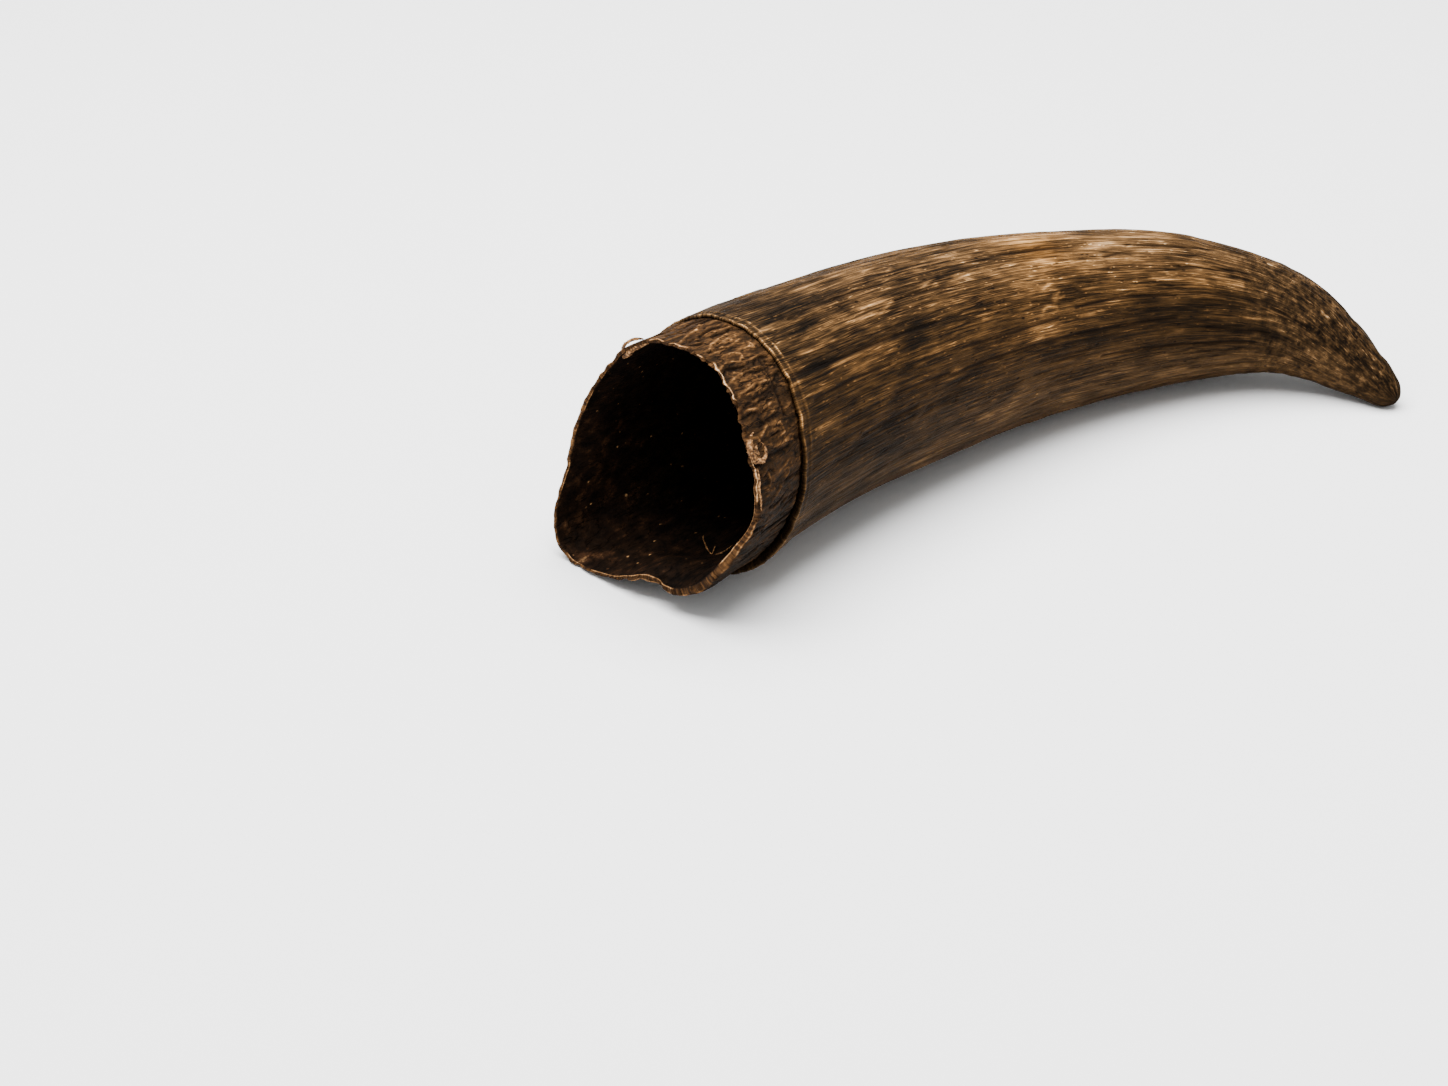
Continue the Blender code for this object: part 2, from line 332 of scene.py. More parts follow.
OUTER_AROUND = 400          # points around
BODY_STEP = 0.0015          # between rows on the body
ROUND_ROWS = 14             # rows on the rounded end
LIP_RISE = 0.0006           # how far the edge stands proud all round
LIP_FLARE = 0.0014          # and how much more it does low down, where it has come away
LIP_RAGGED = 0.0005
CREVICE_SIDE = 125          # the angle where the crevice under the edge is widest
SECOND_THREAD = 0.0037      # how far behind the edge a second raised thread runs
THREAD_GROOVE = 0.0026      # and the groove between the two
THREAD_HEIGHT = 0.00030
PATH_HEIGHT = 0.00035       # of a raised fibre, and the depth of a crack
FIBRE_HEIGHT = 0.00012
HAIR_HEIGHT = 0.00008
FLAKE_HEIGHT = 0.00016      # near the tip
SCALE_HEIGHT = 0.00010      # of the smaller flakes there

# The lip's rows behind its edge, how deep the last of them tuck under where the crevice is
# open and where it is closed, in metres, and how dark they get there, from 0 to 1.
LIP_ROWS = (0.0062, 0.0052, 0.0044, 0.0037, 0.0031, 0.0026, 0.0020, 0.0014,
            0.0009, 0.0005, 0.0002, 0.0, 0.0, 0.0004, 0.0016, 0.0050)
LIP_TUCK_OPEN = (0.0, 0.0003, 0.0012, 0.0020, 0.0030, 0.0037)
LIP_TUCK_CLOSED = (0.0, 0.0005, 0.0010, 0.0013, 0.0016, 0.0018)
LIP_SHADE = (0.0, 0.3, 1.0, 1.0, 1.0, 1.0)

# The keratin's colours from dark to pale, warm where it is worn and duller elsewhere.
WARM_KERATIN = ((0.0, "#070401"), (0.15, "#130b03"), (0.30, "#241606"), (0.45, "#3a260e"),
                (0.60, "#593b1b"), (0.75, "#865c2e"), (0.88, "#be8b4f"), (1.0, "#ecbd80"))
DULL_KERATIN = ((0.0, "#080603"), (0.15, "#150e07"), (0.30, "#261b0f"), (0.45, "#3c2c1b"),
                (0.60, "#59432b"), (0.75, "#836443"), (0.88, "#b48f66"), (1.0, "#dfc098"))

# Lightness around the horn by angle, and along it by millimetres from the mouth, and how grey the
# keratin is by angle. The lightness rises from 100 to 140 degrees, toward the underside's edge, as
# painted bounce light from the white floor; the keratin is greyer underneath as painted grey bounce
# from the floor, and on top as a painted sheen, over its own dull colour.
AROUND_TONE = ((0, 0.48), (30, 0.45), (45, 0.40), (70, 0.355), (100, 0.315), (120, 0.36),
               (140, 0.42), (180, 0.38), (230, 0.40), (300, 0.44), (360, 0.48))
ALONG_TONE = ((0, 0.0), (60, -0.01), (120, 0.01), (170, 0.03), (200, 0.03), (235, 0.06),
              (285, -0.04), (346, -0.11))
AROUND_GREY = ((0, 0.65), (25, 0.55), (50, 0.3), (80, 0.35), (105, 0.75), (150, 0.9), (240, 0.9),
               (320, 0.7), (360, 0.65))

# Worn and stained places, and one band of painted bounce light: distance, angle, half-length and
# half-width in millimetres and degrees, and how much lighter or darker the place is. The band at 300 mm
# and 118 degrees, low on the inside of the curve near the tip, is painted bounce light from the white
# floor.
WEAR_STAINS_AND_BOUNCE_LIGHT = (
    (60, 2, 46, 34, -0.12), (300, 118, 60, 24, 0.18), (330, 80, 24, 35, 0.11),
    (183, 25, 11, 7, 0.36), (186, 2, 13, 9, 0.36), (226, 16, 30, 20, 0.12), (84, 8, 18, 9, 0.11),
    (90, 24, 16, 10, 0.08), (165, 67, 15, 11, 0.20), (70, 58, 14, 10, 0.16), (138, 33, 8, 7, 0.15),
    (212, -12, 10, 9, 0.10), (250, 4, 14, 12, 0.08), (215, 54, 8, 8, 0.12), (218, 92, 7, 7, 0.10),
    (36, -14, 8, 10, 0.13), (332, 58, 8, 14, 0.07), (330, 12, 8, 8, 0.12), (122, 66, 9, 8, 0.07),
    (244, 22, 7, 6, 0.07), (104, 2, 7, 7, 0.07), (254, 52, 8, 7, 0.07), (203, 102, 14, 14, 0.12),
    (60, 8, 8, 5, -0.14), (54, 23, 12, 5, -0.30), (44, 45, 15, 6, -0.30), (36, 6, 6, 9, -0.07),
    (48, 97, 28, 14, -0.08), (107, 44, 10, 6, -0.26), (93, 63, 10, 8, -0.18), (116, 0, 10, 6, -0.16),
    (153, -11, 11, 7, -0.16), (157, 26, 9, 6, -0.06), (178, 52, 10, 6, -0.10), (198, 52, 14, 5, -0.20),
    (188, 77, 22, 8, -0.16), (226, 68, 14, 7, -0.16), (230, 80, 16, 8, -0.10), (245, 74, 24, 9, -0.12),
    (280, 62, 13, 8, -0.10), (262, 84, 24, 8, -0.06), (126, 108, 18, 9, 0.06), (163, 107, 24, 12, 0.12),
    (318, 95, 14, 24, 0.14), (300, 30, 10, 18, -0.06), (325, 30, 10, 25, -0.08),
)

# The middle and the reach of a patch that is worn bare to warmer, smoother keratin, in
# millimetres from the mouth and degrees around.
BARE_AT = (184.0, 13.0)
BARE_REACH = (15.0, 20.0)

# Raised fibres and cracks, as paths in millimetres from the mouth and degrees around.
PALE_RIDGES = (
    ((32, 17), (50, 18.5), (75, 17)), ((60, 27), (78, 28), (84, 27)), ((62, 31), (90, 32), (99, 28)),
    ((66, -5), (84, -4), (98, -5)), ((40, 37), (56, 36), (70, 39)), ((30, 48), (48, 48), (80, 47)),
    ((103, 1), (112, -1), (116, 4), (112, 7), (106, 5)), ((148, 3), (156, 2), (158, 7)),
    ((118, 25), (126, 22), (124, 27)), ((140, 28), (160, 29), (168, 27)),
    ((172, 44), (178, 41), (184, 43)), ((176, 50), (180, 47), (176, 52), (182, 50)),
    ((168, 56), (172, 54), (176, 56)), ((188, 64), (196, 63)), ((234, 84), (244, 82)),
    ((258, 69), (268, 67)), ((278, 62), (290, 60), (302, 52)), ((276, 71), (284, 69), (292, 66)),
)
DARK_CRACKS = (
    ((74, 15), (90, 14), (103, 15)), ((30, 44), (60, 46), (88, 46), (112, 47)),
    ((110, 74), (150, 74), (200, 73), (240, 73)), ((120, 63), (150, 64), (176, 62)),
    ((38, 58), (62, 57), (80, 58)), ((80, 72), (110, 73)), ((60, 84), (90, 83)),
    ((160, 13), (176, 14), (196, 12)), ((226, 13), (244, 14), (262, 9)),
    ((244, 34), (262, 33), (270, 30)), ((212, 25), (220, 22), (226, 24)),
    ((186, 58), (214, 55), (240, 57)), ((200, 91), (250, 93), (284, 92)),
    ((256, 80), (276, 82), (290, 80)), ((100, 28), (120, 28), (136, 31)),
)


def outer_rows():
    """The rows' distances from the mouth, from the tip to the lip: even in angle on the
    rounded end, evenly spaced on the body and close together on the lip."""
    turn = np.linspace(0.0, 90.0, ROUND_ROWS + 1)[1:]
    end = LENGTH * (1.0 - ROUND_END)
    round_rows = LENGTH - end * (1.0 - np.cos(np.radians(turn)))
    body_rows = np.arange(LENGTH - end - BODY_STEP, COLLAR + 0.007, -BODY_STEP)
    return np.concatenate([round_rows, body_rows, COLLAR + np.array(LIP_ROWS)])


def edge_threads(angle, nominal):
    """The raised threads along the outer layer's edge, and the groove between them.

    Each is exp(-(d/w)^2) of the distance behind the edge. The first is broken into beads,
    and the second thread and the groove run only on the upper side.
    """
    behind = nominal - COLLAR
    beads = 0.35 + 0.65 * blend(-0.3, 0.5, patchy(angle, nominal, 120, 0.004, 21))
    top_side = hump(angle, 20.0, 70.0)
    wander = 0.0005 * patchy(angle, nominal * 0.0, 40, 0.1, 27)
    first = np.exp(-((behind - 0.0004) / 0.0005) ** 2) * beads
    second = np.exp(-((behind - SECOND_THREAD - wander) / 0.0005) ** 2) * beads * top_side
    groove = np.exp(-((behind - THREAD_GROOVE - wander) / 0.0006) ** 2) * top_side
    return np.maximum(first, second), groove


def outer_paths(angle, nominal):
    """The outer layer's raised fibres, broken by value noise, and its cracks: those with a
    place of their own, and fainter seeded ones between them."""
    seeded_ridges = wandering_paths(51, 120, 34.0, 300.0, 26.0, 0.02, 0.15)
    seeded_cracks = wandering_paths(52, 110, 32.0, 290.0, 34.0, 0.015, 0.05)
    ridge = np.maximum(along_paths(angle, nominal, PALE_RIDGES, 0.75),
                       0.6 * along_paths(angle, nominal, seeded_ridges, 0.65))
    crack = np.maximum(along_paths(angle, nominal, DARK_CRACKS, 0.75),
                       0.6 * along_paths(angle, nominal, seeded_cracks, 0.65))
    broken = blend(-0.5, 0.4, patchy(angle, nominal, 60, 0.007, 30))
    return ridge * (0.35 + 0.65 * broken), crack


def outer_colours(angle, nominal):
    """The outer layer's lightness, how far it is tip, how grey and how lively it is.

    The lightness is read off by angle and by distance, and each worn or stained place, and one band of
    painted bounce light, adds its amount times a Gaussian both ways, with a wavy outline.
    """
    along_mm = nominal * 1000
    drift = 4.0 * patchy(angle, nominal, 90, 0.030, 26)
    tone = np.interp(angle % 360.0, *zip(*AROUND_TONE))
    tone = tone + np.interp(along_mm, *zip(*ALONG_TONE))
    for place_mm, middle, half_long, half_wide, amount in WEAR_STAINS_AND_BOUNCE_LIGHT:
        near = np.exp(-((along_mm - place_mm + drift) / half_long) ** 2)
        tone = tone + amount * near * hump(angle, middle, half_wide)
    tip = blend(262.0, 306.0, along_mm + 2.0 * drift + 10.0 * hump(angle, 0.0, 50.0))
    bare = np.exp(-((along_mm - BARE_AT[0]) / BARE_REACH[0]) ** 2)
    bare = bare * hump(angle, BARE_AT[1], BARE_REACH[1])
    # Greyer underneath as painted grey bounce from the floor, and on top near the collar as a painted
    # sheen, over the keratin's own dull colour; the bare patch is not greyed.
    grey = np.interp(angle % 360.0, *zip(*AROUND_GREY)) * (1.0 - tip) + 0.75 * tip
    near_collar = 1.0 - blend(70.0, 130.0, along_mm)
    grey = np.maximum(grey, 0.7 * near_collar * hump(angle, 355.0, 40.0)) * (1.0 - bare)
    lively = (0.7 + 0.6 * hump(angle, 20.0, 50.0) + 0.3 * tip) * (1.0 - 0.6 * bare)
    return {"tone": tone, "tip": tip, "grey": grey, "lively": lively}


def outer_surface():
    """The grid of the outer layer, from the tip to the lip and back under it.

    The radius is the horn's section plus its ridges, a lip that dies out over 15 mm as a
    smoothstep, fine value noise along the grain, raised paths and sunken paths.
    """
    rows = outer_rows()
    before = np.zeros(len(rows) - len(LIP_TUCK_OPEN))
    tuck_open = np.append(before, LIP_TUCK_OPEN)[:, None]
    tuck_closed = np.append(before, LIP_TUCK_CLOSED)[:, None]
    under = np.append(before, LIP_SHADE)[:, None]
    angle = np.arange(OUTER_AROUND) * 360.0 / OUTER_AROUND
    angle, nominal = np.meshgrid(angle, rows)
    behind = nominal - COLLAR
    low_side = hump(angle, 145.0, 50.0)
    lip = LIP_RISE * (0.4 + 0.6 * low_side) + LIP_FLARE * low_side
    lip = lip * (1.0 - blend(0.001, 0.016, behind))
    threads, groove = edge_threads(angle, nominal)
    ridge, crack = outer_paths(angle, nominal)
    # The rows tucked under the edge, darkest where the crevice is open, and the groove between the
    # threads go into the crack mark as painted shade of the crevice and the groove.
    crevice_shade = under * (0.05 + 0.95 * hump(angle, CREVICE_SIDE, 45.0))
    crack = np.maximum(crack, np.maximum(crevice_shade, 0.45 * groove))
    fine = FIBRE_HEIGHT * patchy(angle, nominal, 150, 0.024, 23)
    fine = fine + HAIR_HEIGHT * patchy(angle, nominal, 199, 0.008, 24)
    near_tip = blend(0.262, 0.300, nominal) * (1.0 - blend(0.338, 0.344, nominal))
    flaked = FLAKE_HEIGHT * patchy(angle, nominal, 36, 0.0032, 28)
    flaked = flaked + SCALE_HEIGHT * patchy(angle, nominal, 70, 0.0018, 29)
    height = grown_ridges(angle, nominal) + lip + fine + flaked * near_tip
    height = height + THREAD_HEIGHT * threads + PATH_HEIGHT * ridge
    height = height - PATH_HEIGHT * crack * blend(0.001, 0.002, behind)
    opened = hump(angle, CREVICE_SIDE, 62.0)
    height = height - tuck_open * opened - tuck_closed * (1.0 - opened)
    ragged = LIP_RAGGED * patchy(angle, nominal * 0.0, 70, 0.05, 25)
    along = slanted(angle, nominal) + ragged * (1.0 - blend(0.0, 0.003, behind))
    radius = np.maximum(section_radius(angle, along) + height, 0.0)
    marks = outer_colours(angle, nominal)
    # The raised threads along the edge are painted paler, in the tone and in the ridge mark: a painted
    # highlight along the rolled edge.
    marks["tone"] = marks["tone"] + 0.16 * threads
    marks["ridge"] = np.maximum(ridge, threads * (1.0 - under))
    marks["crack"] = crack
    tip = centreline(np.array([LENGTH]))[0]
    return sheath_mesh("outer_layer", placed(angle, along, radius), angle, nominal, marks, tip)


def streaks(tree, place, across, along, detail, rough=0.55):
    """Fractal noise over a place, with grains of a width and a length in millimetres."""
    scale = (1000 / across, 1000 / across, 1000 / along)
    stretched = node(tree, "Mapping", {"Vector": place, "Scale": scale})
    inputs = {"Vector": stretched, "Scale": 1.0, "Detail": detail, "Roughness": rough}
    return node(tree, "TexNoise", inputs, output="Fac")


def flecks(tree, place, across, along, size, share):
    """Small separate spots, one in a share of the cells of a stretched Voronoi pattern."""
    scale = (1000 / across, 1000 / across, 1000 / along)
    stretched = node(tree, "Mapping", {"Vector": place, "Scale": scale})
    apart = node(tree, "TexVoronoi", {"Vector": stretched, "Scale": 1.0}, output="Distance")
    spot = node(tree, "MapRange", (apart, size * 0.5, size, 1.0, 0.0))
    chance = node(tree, "SeparateColor", (apart.node.outputs["Color"],))
    chosen = node(tree, "MapRange", (chance, share, share - 0.05, 0.0, 1.0))
    return node(tree, "Math", (spot, chosen), operation="MULTIPLY")


def thin_lines(tree, pattern, level, width):
    """1 where a pattern crosses a level, falling to 0 at a width in its own values."""
    apart = node(tree, "Math", (pattern, level), operation="SUBTRACT")
    apart = node(tree, "Math", (apart,), operation="ABSOLUTE")
    return node(tree, "MapRange", (apart, 0.0, width, 1.0, 0.0))


def layered(tree, total, *layers):
    """The total plus each layer: a pattern taken from one range to another, clamped there."""
    for pattern, low, high, darkest, palest in layers:
        change = node(tree, "MapRange", (pattern, low, high, darkest, palest))
        total = node(tree, "Math", (total, change), operation="ADD")
    return total


def outer_keratin():
    """Weathered keratin: dull, fibrous, dark in its cracks and pale on its raised fibres.

    Fibres are 0.35 to 0.8 mm wide and 9 to 44 mm long, and dark and pale stains 6.5 mm by
    20 mm. Near the tip the grain fades into flakes 6.5 mm by 3.6 mm, and pits. The real
    hairs, pale lines and dark splits are finer, and are drawn as coarse as they need to
    show. The dry skin has hardly any sheen, so its specular level is low.
    """
    material = bpy.data.materials.new("weathered keratin")
    material.use_nodes = True
    tree = material.node_tree
    shader = tree.nodes["Principled BSDF"]
    shader.inputs["Specular IOR Level"].default_value = 0.03
    grain = node(tree, "Attribute", output="Vector", attribute_name="grain")
    tone = node(tree, "Attribute", output="Fac", attribute_name="tone")
    ridge = node(tree, "Attribute", output="Fac", attribute_name="ridge")
    crack = node(tree, "Attribute", output="Fac", attribute_name="crack")
    tip = node(tree, "Attribute", output="Fac", attribute_name="tip")
    grey = node(tree, "Attribute", output="Fac", attribute_name="grey")
    lively = node(tree, "Attribute", output="Fac", attribute_name="lively")

    long_fibres = streaks(tree, grain, 0.8, 44.0, 3.0)
    short_fibres = streaks(tree, grain, 0.55, 12.0, 3.0)
    hairs = streaks(tree, grain, 0.35, 9.0, 2.0)
    stains = streaks(tree, grain, 6.5, 20.0, 4.0)
    flakes = streaks(tree, grain, 6.5, 3.6, 5.0, 0.7)
    fibres = layered(tree, 0.0, (long_fibres, 0.3, 0.7, -0.13, 0.13),
                     (short_fibres, 0.3, 0.7, -0.09, 0.09), (hairs, 0.35, 0.65, -0.10, 0.10))
    grained = layered(tree, fibres, (stains, 0.35, 0.65, -0.13, 0.09))
    faint_fibres = node(tree, "Math", (fibres, 0.45), operation="MULTIPLY")
    pitted = layered(tree, faint_fibres, (flakes, 0.35, 0.65, -0.18, 0.18))
    pattern = node(tree, "Mix", {"Factor": tip, "A": grained, "B": pitted})
    lightness = node(tree, "Math", (pattern, lively, tone), operation="MULTIPLY_ADD")

    specks = flecks(tree, grain, 1.1, 2.6, 0.36, 0.14)
    specks = node(tree, "Math", (specks, 0.8), operation="MULTIPLY")
    pale_lines = thin_lines(tree, streaks(tree, grain, 1.8, 24.0, 1.0), 0.53, 0.026)
    broken = node(tree, "MapRange", (short_fibres, 0.45, 0.60, 0.0, 1.0))
    pale_lines = node(tree, "Math", (pale_lines, broken), operation="MULTIPLY")
    raised = node(tree, "Math", (specks, pale_lines), operation="MAXIMUM")
    raised = node(tree, "Math", (raised, ridge), operation="MAXIMUM")
    paler = node(tree, "Math", (raised, 0.26), operation="MULTIPLY")
    lightness = node(tree, "Math", (paler, lively, lightness), operation="MULTIPLY_ADD")
    warm = node(tree, "ValToRGB", (lightness,), stops=WARM_KERATIN)
    dull = node(tree, "ValToRGB", (lightness,), stops=DULL_KERATIN)
    colour = node(tree, "Mix", {0: grey, 6: warm, 7: dull}, output=2, data_type="RGBA")

    sheets = streaks(tree, grain, 2.2, 60.0, 2.0)
    splits = node(tree, "Math", (thin_lines(tree, sheets, 0.5, 0.026),
                                 thin_lines(tree, sheets, 0.60, 0.022)), operation="MAXIMUM")
    on_dark = node(tree, "MapRange", (stains, 0.40, 0.58, 1.0, 0.25))
    splits = node(tree, "Math", (splits, on_dark), operation="MULTIPLY")
    pits = flecks(tree, grain, 1.6, 4.0, 0.30, 0.10)
    tip_pits = flecks(tree, grain, 7.0, 2.6, 0.36, 0.22)
    tip_pits = node(tree, "Math", (tip_pits, tip), operation="MULTIPLY")
    dark = node(tree, "Math", (splits, pits), operation="MAXIMUM")
    dark = node(tree, "Math", (dark, tip_pits), operation="MAXIMUM")
    dark = node(tree, "Math", (dark, crack), operation="MAXIMUM")
    # The dark marks darken the colour: real cracks, splits and pits, and, carried in the crack mark,
    # the painted shade of the crevice under the edge and of the groove by the threads.
    darkening = node(tree, "Math", (dark, 0.85), operation="MULTIPLY")
    colour = node(tree, "Mix", {0: darkening, 6: colour, 7: "#080402"}, output=2, data_type="RGBA")
    tree.links.new(colour, shader.inputs["Base Color"])
    roughness = node(tree, "MapRange", (short_fibres, 0.3, 0.7, 0.55, 0.75))
    tree.links.new(roughness, shader.inputs["Roughness"])

    height = node(tree, "Math", (dark, -0.7), operation="MULTIPLY")
    for relief, share in ((long_fibres, 0.8), (short_fibres, 0.6), (hairs, 0.35), (raised, 0.35)):
        height = node(tree, "Math", (relief, share, height), operation="MULTIPLY_ADD")
    bump = node(tree, "Bump", {"Height": height, "Distance": 0.0010, "Strength": 0.9})
    tree.links.new(bump, shader.inputs["Normal"])
    return material


outer_layer = bpy.data.objects.new("outer_layer", outer_surface())
outer_layer.data.materials.append(outer_keratin())
bpy.context.collection.objects.link(outer_layer)
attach(outer_layer, "root")
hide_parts("horn")


# The collar and the hollow
# The bare inner layer of the sheath: a wrinkled collar in front of the outer layer, the
# thin broken rim of the mouth, and the dark hollow that the bone core left.

INNER_AROUND = 690          # points around
RIM_ROWS = 10               # rows across the rim
COLLAR_RECESS = 0.0009      # how far the collar lies under the outer layer's skin
CREVICE_DEPTH = 0.0024
CREVICE_WIDTH = 0.0014
WRINKLE_HEIGHT = 0.00030
RAISED_HEIGHT = 0.00050     # of the collar's raised fibres
CRACK_DEPTH = 0.00055
CRUMB_HEIGHT = 0.0010
RIM_BULGE = 0.0004
RIM_TEAR = 0.0014
RIM_WALL = 0.0018
RIM_WALL_THICK = 0.0014     # and how much thicker it is low down
HOLLOW_DEPTH = 0.262
HOLLOW_TAPER = 3.6
HOLLOW_SWELLS = 0.0006
HOLLOW_BUMPS = 0.0003

# The inner layer's rows around the crevice, from under the outer layer on to the open
# collar, in metres behind the outer layer's edge.
CREVICE_ROWS = (0.008, 0.004, 0.0016, 0.0006, 0.0, -0.0005, -0.0010, -0.0015,
                -0.0020, -0.0025, -0.0030, -0.0035, -0.0040)

# The colours of the collar, the hollow and the torn rim from dark to pale, and the collar's lightness
# by angle. The hollow's colours run nearly to black: painted shade of the deep hollow over its own dark
# keratin.
COLLAR_KERATIN = ((0.0, "#040201"), (0.20, "#120b04"), (0.40, "#2a1b0d"), (0.60, "#54391f"),
                  (0.80, "#986d43"), (1.0, "#e6bb88"))
HOLLOW_KERATIN = ((0.0, "#030201"), (0.35, "#090503"), (0.60, "#180e07"), (0.80, "#362214"),
                  (1.0, "#94704a"))
RIM_KERATIN = ((0.0, "#0d0703"), (0.25, "#25170c"), (0.45, "#53381f"), (0.65, "#997049"),
               (0.85, "#e6c399"))
COLLAR_TONE = ((0, 0.40), (50, 0.38), (80, 0.30), (110, 0.22), (180, 0.22), (300, 0.36),
               (360, 0.40))

# Ridges and cracks of the collar, as paths in millimetres from the mouth and degrees.
COLLAR_RIDGES = (
    ((20.8, 10.4), (15, 12), (10, 14), (6.2, 17.5), (7.0, 20.5), (11.7, 20), (21.7, 17.2)),
    ((10.8, 16.4), (18.3, 14.1), (19.2, 15.6), (10.8, 18.6)),
    ((6.7, 23.1), (13.3, 23.9), (15.8, 25.4), (15.4, 27.6), (13.3, 28.4)),
    ((2.5, 4.4), (8.3, 1.4), (15, -1.6), (20, -6.1)), ((8.3, 6.6), (15, 5.2), (25, 6.5)),
    ((0.8, 29.9), (6.7, 27.5), (14, 30), (24, 29)),
    ((1.7, 36.6), (9.2, 35.1), (18.3, 34.4), (25, 36.6)),
    ((2.5, 43.4), (11.7, 41.1), (21.7, 41.9)), ((4, 50), (10, 52), (18, 50)),
    ((0.8, 59.9), (4.2, 61.4), (7.1, 68.9), (2.5, 68.2), (0.8, 61.4)),
    ((2.5, 75.7), (5, 74.9), (6.3, 78.7), (4.6, 81.7), (2.9, 80.2)),
    ((5.8, 61.4), (10.8, 58.4), (17.5, 59.9), (19.2, 64.4), (15, 65.2)),
    ((6.7, 65.2), (13.3, 68.2), (23.3, 68.9)), ((6.7, 86.9), (12.5, 83.9), (18.3, 80.9)),
)
COLLAR_CRACKS = (
    ((8.3, 8.4), (13.3, 3.6), (19.2, 2.1), (25.8, 4.4)), ((1, 33), (4, 31), (8, 32)),
    ((21.3, 31.4), (20.8, 41.9), (20.4, 47.9), (20.8, 57.7)),
    ((3.3, 47.9), (11.7, 46.4), (19.2, 44.9)), ((17.5, 32.9), (20.8, 29.9), (26, 31)),
    ((0.5, 71), (8, 70), (20, 71)), ((0.0, 98), (3, 97), (7, 99)),
)


def walls(angle, nominal):
    """The hollow's radius: the section less the wall, which is thicker low down and on the far
    side, closing as (1 - x^3.6)^0.8 of the hollow's depth x."""
    wall = RIM_WALL + RIM_WALL_THICK * hump(angle, 130.0, 42.0)
    wall = wall * (0.65 + 0.35 * blend(0.0, 0.010, nominal) + 0.35 * hump(angle, 130.0, 60.0)
                   + 0.30 * hump(angle, 255.0, 55.0))
    wall = wall + COLLAR_RECESS * blend(0.0, 0.6 * COLLAR, nominal)
    opened = np.maximum(1.0 - (nominal / HOLLOW_DEPTH) ** HOLLOW_TAPER, 0.0) ** 0.8
    uneven = HOLLOW_SWELLS * patchy(angle, nominal, 14, 0.030, 12)
    uneven = uneven + HOLLOW_BUMPS * patchy(angle, nominal, 60, 0.008, 34)
    section = section_radius(angle, slanted(angle, nominal))
    return (section - wall + uneven * blend(0.0, 0.012, nominal)) * opened


def inner_rows():
    """The rows' distances from the mouth, and how far across the wall each is, 0 outside and
    1 in the hollow: along the collar, over the rim and down to the hollow's end."""
    outside = COLLAR + np.array(CREVICE_ROWS)
    outside = np.concatenate([outside, np.arange(COLLAR - 0.0045, 0.0003, -0.00045)])
    across = np.linspace(0.0, 1.0, RIM_ROWS + 2)[1:-1]
    closing = HOLLOW_DEPTH * (1.0 - 0.1 * np.linspace(0.9, 0.0, 8) ** 2)
    depth = np.concatenate([np.arange(0.0, 0.005, 0.0007), np.arange(0.005, 0.040, 0.0016),
                            np.linspace(0.042, HOLLOW_DEPTH * 0.9, 20), closing])
    rows = np.concatenate([outside, np.zeros(len(across)), depth])
    return rows, np.concatenate([np.zeros(len(outside)), across, np.ones(len(depth))])


def collar_paths(angle, nominal):
    """The collar's raised fibres, broken by value noise, and its cracks: those with a place
    of their own, and fainter seeded ones between them."""
    seeded_ridges = wandering_paths(41, 110, 1.0, 24.0, 12.0, 0.09, 0.3)
    seeded_cracks = wandering_paths(42, 130, 0.0, 24.0, 13.0, 0.07, 0.0)
    broken = blend(-0.5, 0.3, patchy(angle, nominal, 110, 0.004, 33))
    wrinkled = 0.35 + 0.65 * hump(angle, 30.0, 60.0)
    ridge = 0.7 * along_paths(angle, nominal, seeded_ridges, 0.42) * wrinkled
    placed_ridge = 1.2 * along_paths(angle, nominal, COLLAR_RIDGES, 0.50)
    ridge = np.maximum(ridge * (0.2 + 0.8 * broken), placed_ridge * (0.6 + 0.4 * broken))
    crack = np.maximum(along_paths(angle, nominal, COLLAR_CRACKS, 0.60),
                       0.85 * along_paths(angle, nominal, seeded_cracks, 0.42))
    return ridge, crack


def rim_paleness(angle, across, crumbly, bulge):
    """How pale the torn rim is: a broken line along each of its edges, a Gaussian of the way
    across the wall, and striped fibre ends low down and on the far side."""
    outer_line = np.exp(-((across - 0.10) / 0.11) ** 2) * (0.6 + 0.4 * crumbly)
    outer_line = outer_line * blend(-0.4, 0.3, patchy(angle, across, 75, 1.0, 37))
    inner_line = np.exp(-((across - 0.93) / 0.08) ** 2) * 0.8
    inner_line = inner_line * blend(-0.5, 0.3, patchy(angle, across, 50, 1.0, 38))
    inner_line = inner_line * (1.0 - 0.8 * hump(angle, 0.0, 60.0))
    dulled = 1.0 - 0.5 * hump(angle, 122.0, 26.0) * (across < 0.5)
    striped = 0.6 + 0.4 * patchy(angle, across * 0.004, 300, 0.004, 39)
    ends = (0.30 * hump(angle, 118.0, 24.0) + 0.45 * hump(angle, 262.0, 60.0)) * striped
    return np.maximum(outer_line, inner_line) * dulled + (0.30 * crumbly + ends) * bulge


